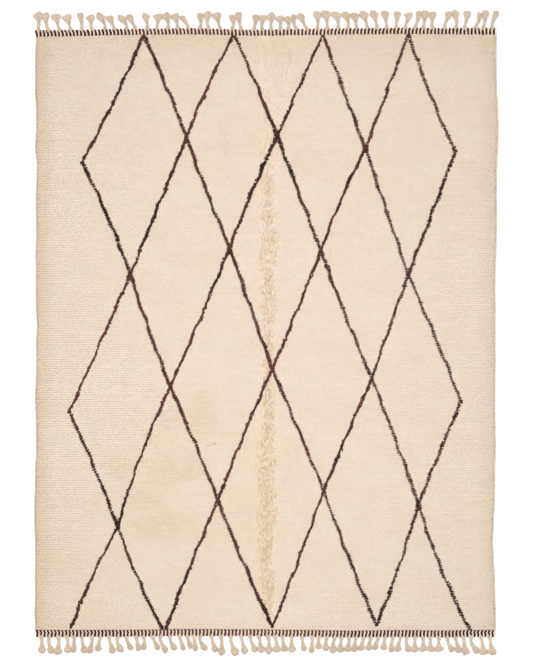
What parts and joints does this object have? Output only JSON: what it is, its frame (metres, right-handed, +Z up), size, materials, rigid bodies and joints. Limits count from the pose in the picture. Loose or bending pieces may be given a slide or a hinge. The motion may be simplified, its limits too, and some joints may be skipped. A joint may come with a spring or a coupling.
{
  "type": "hand-knotted wool pile rug",
  "caption": "Large ivory wool pile rug with a dark diamond lattice, flat twined end bands and knotted tassels along both ends, lying flat.",
  "frame": {"origin": "middle of the whole rug with its tassels, on the floor it lies on", "axes": "+Z up out of the pile, +Y along the rug towards the end with the wider-spaced tassels, +X across it to the right"},
  "size_m": [2.5258, 3.49, 0.02],
  "materials": {
    "ivory_wool": "dense clipped wool pile, matt",
    "dark_wool": "dark plum-brown wool pile, matt",
    "warp_yarn": "undyed plied warp yarn, matt"
  },
  "bodies": {
    "root": {"rug_body": "ivory_wool", "fringe_top": "warp_yarn", "fringe_bottom": "warp_yarn"}
  },
  "joints": []
}
